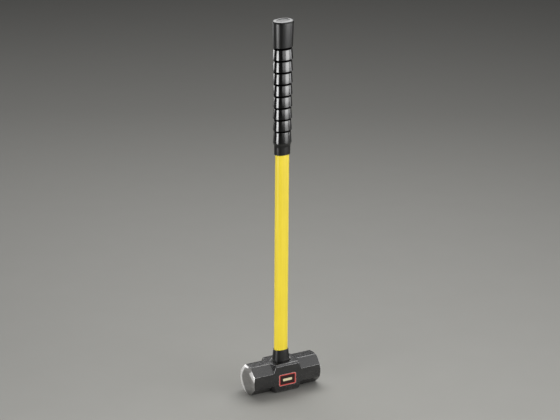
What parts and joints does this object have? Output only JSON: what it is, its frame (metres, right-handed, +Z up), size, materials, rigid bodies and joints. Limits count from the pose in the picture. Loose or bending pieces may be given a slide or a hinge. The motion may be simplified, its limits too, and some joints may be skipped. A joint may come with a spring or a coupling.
{
  "type": "sledgehammer",
  "caption": "Long-handled striking tool: forged double-faced octagonal head bonded to an oval fibreglass handle with a ribbed rubber grip.",
  "frame": {"origin": "centre of the head's flat underside, straight below the handle's centre line", "axes": "+Z up the handle, +X along the head towards one striking face, +Y square to the cheek"},
  "size_m": [0.188, 0.067, 0.914],
  "materials": {
    "forged_head": "dark satin scale, polished striking faces",
    "bonding_resin": "cast, slightly rough",
    "fibreglass": "cut fibre ends",
    "handle_jacket": "smooth semi-gloss",
    "collar_rubber": "satin",
    "grip_rubber": "semi-gloss"
  },
  "bodies": {
    "root": {"head": "forged_head", "resin_bond": "bonding_resin", "shaft_core": "fibreglass", "shaft_jacket": "handle_jacket", "collar": "collar_rubber", "grip": "grip_rubber"}
  },
  "joints": []
}
